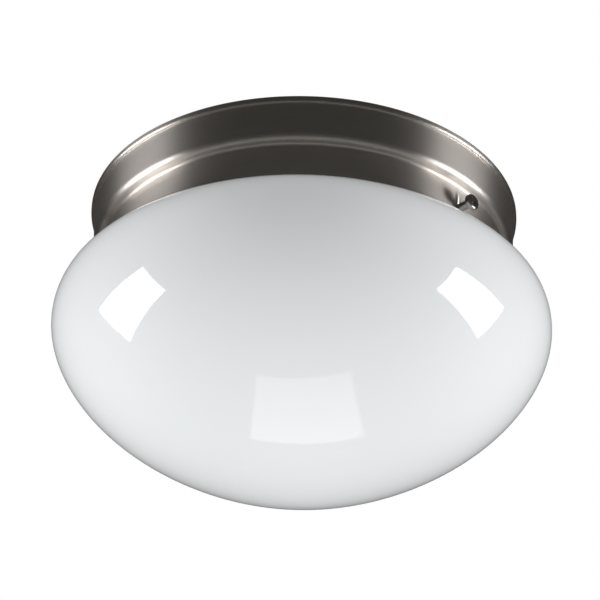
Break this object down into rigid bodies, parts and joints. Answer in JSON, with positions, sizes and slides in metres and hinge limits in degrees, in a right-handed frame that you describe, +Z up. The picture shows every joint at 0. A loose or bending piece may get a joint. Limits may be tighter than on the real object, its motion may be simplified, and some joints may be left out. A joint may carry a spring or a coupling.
{
  "type": "flush mount ceiling light",
  "caption": "Round flush mount ceiling light: stepped brushed metal pan with side thumbscrews and a wide white opal glass bowl over side-by-side bulbs.",
  "frame": {"origin": "centre of the crossbar's top face, in the plane of the ceiling", "axes": "+Z straight up into the ceiling, +X along the crossbar"},
  "size_m": [0.2412, 0.2412, 0.1428],
  "materials": {
    "brushed_nickel": "brushed, satin clear coat",
    "thumbscrew_nickel": "nickel plated",
    "opal_glass": "glossy white opal, cased",
    "white_enamel": "gloss white paint",
    "glass_fibre": "loose mineral fibre",
    "zinc_steel": "bright zinc plated",
    "green_screw": "green passivated",
    "copper": "bare drawn wire",
    "nylon": "natural nylon",
    "black_insulation": "extruded PVC",
    "white_insulation": "extruded PVC",
    "orange_plastic": "moulded",
    "porcelain": "glazed porcelain",
    "brass": "drawn and lightly worn",
    "bulb_glass": "soft white coated",
    "cap_aluminium": "rolled thread",
    "cap_insulator": "black vitreous glass",
    "solder": "soldered"
  },
  "bodies": {
    "canopy": {"canopy_shell": "brushed_nickel", "socket_plate": "white_enamel", "insulation_pad": "glass_fibre", "crossbar": "zinc_steel", "mounting_screws": "zinc_steel", "bar_ground_screw": "green_screw", "plate_ground_screw": "green_screw", "ground_wire": "copper", "wire_bushing": "nylon", "black_lead_1": "black_insulation", "white_lead_1": "white_insulation", "black_lead_2": "black_insulation", "white_lead_2": "white_insulation", "black_wire_connector": "orange_plastic", "white_wire_connector": "orange_plastic", "bracket_rivets": "zinc_steel", "lampholder_screws": "zinc_steel", "lampholder_body_1": "porcelain", "screw_shell_1": "brass", "centre_contact_1": "brass", "lampholder_bracket_1": "zinc_steel", "lampholder_body_2": "porcelain", "screw_shell_2": "brass", "centre_contact_2": "brass", "lampholder_bracket_2": "zinc_steel"},
    "globe": {"globe": "opal_glass"},
    "thumbscrew_1": {"thumbscrew_1": "thumbscrew_nickel"},
    "thumbscrew_2": {"thumbscrew_2": "thumbscrew_nickel"},
    "thumbscrew_3": {"thumbscrew_3": "thumbscrew_nickel"},
    "bulb_1": {"bulb_glass_1": "bulb_glass", "bulb_cap_1": "cap_aluminium", "bulb_insulator_1": "cap_insulator", "bulb_contact_1": "solder"},
    "bulb_2": {"bulb_glass_2": "bulb_glass", "bulb_cap_2": "cap_aluminium", "bulb_insulator_2": "cap_insulator", "bulb_contact_2": "solder"}
  },
  "joints": [
    {"name": "globe_lower", "type": "slide", "parent": "canopy", "child": "globe", "axis": [0, 0, -1], "range_m": [0, 0.0152]},
    {"name": "thumbscrew_1_back_out", "type": "slide", "parent": "canopy", "child": "thumbscrew_1", "axis": [0.7302, -0.6833, 0], "range_m": [0, 0.0052]},
    {"name": "thumbscrew_2_back_out", "type": "slide", "parent": "canopy", "child": "thumbscrew_2", "axis": [0.2807, 0.9598, 0], "range_m": [0, 0.0052]},
    {"name": "thumbscrew_3_back_out", "type": "slide", "parent": "canopy", "child": "thumbscrew_3", "axis": [-0.9833, -0.1822, 0], "range_m": [0, 0.0052]},
    {"name": "bulb_1_unscrew", "type": "slide", "parent": "canopy", "child": "bulb_1", "axis": [1, 0, 0], "range_m": [0, 0.022]},
    {"name": "bulb_2_unscrew", "type": "slide", "parent": "canopy", "child": "bulb_2", "axis": [-1, 0, 0], "range_m": [0, 0.022]}
  ],
  "couplings": [
    {"joint": "thumbscrew_1_back_out", "follows": "globe_lower", "ratio": 0.34},
    {"joint": "thumbscrew_2_back_out", "follows": "globe_lower", "ratio": 0.34},
    {"joint": "thumbscrew_3_back_out", "follows": "globe_lower", "ratio": 0.34}
  ]
}
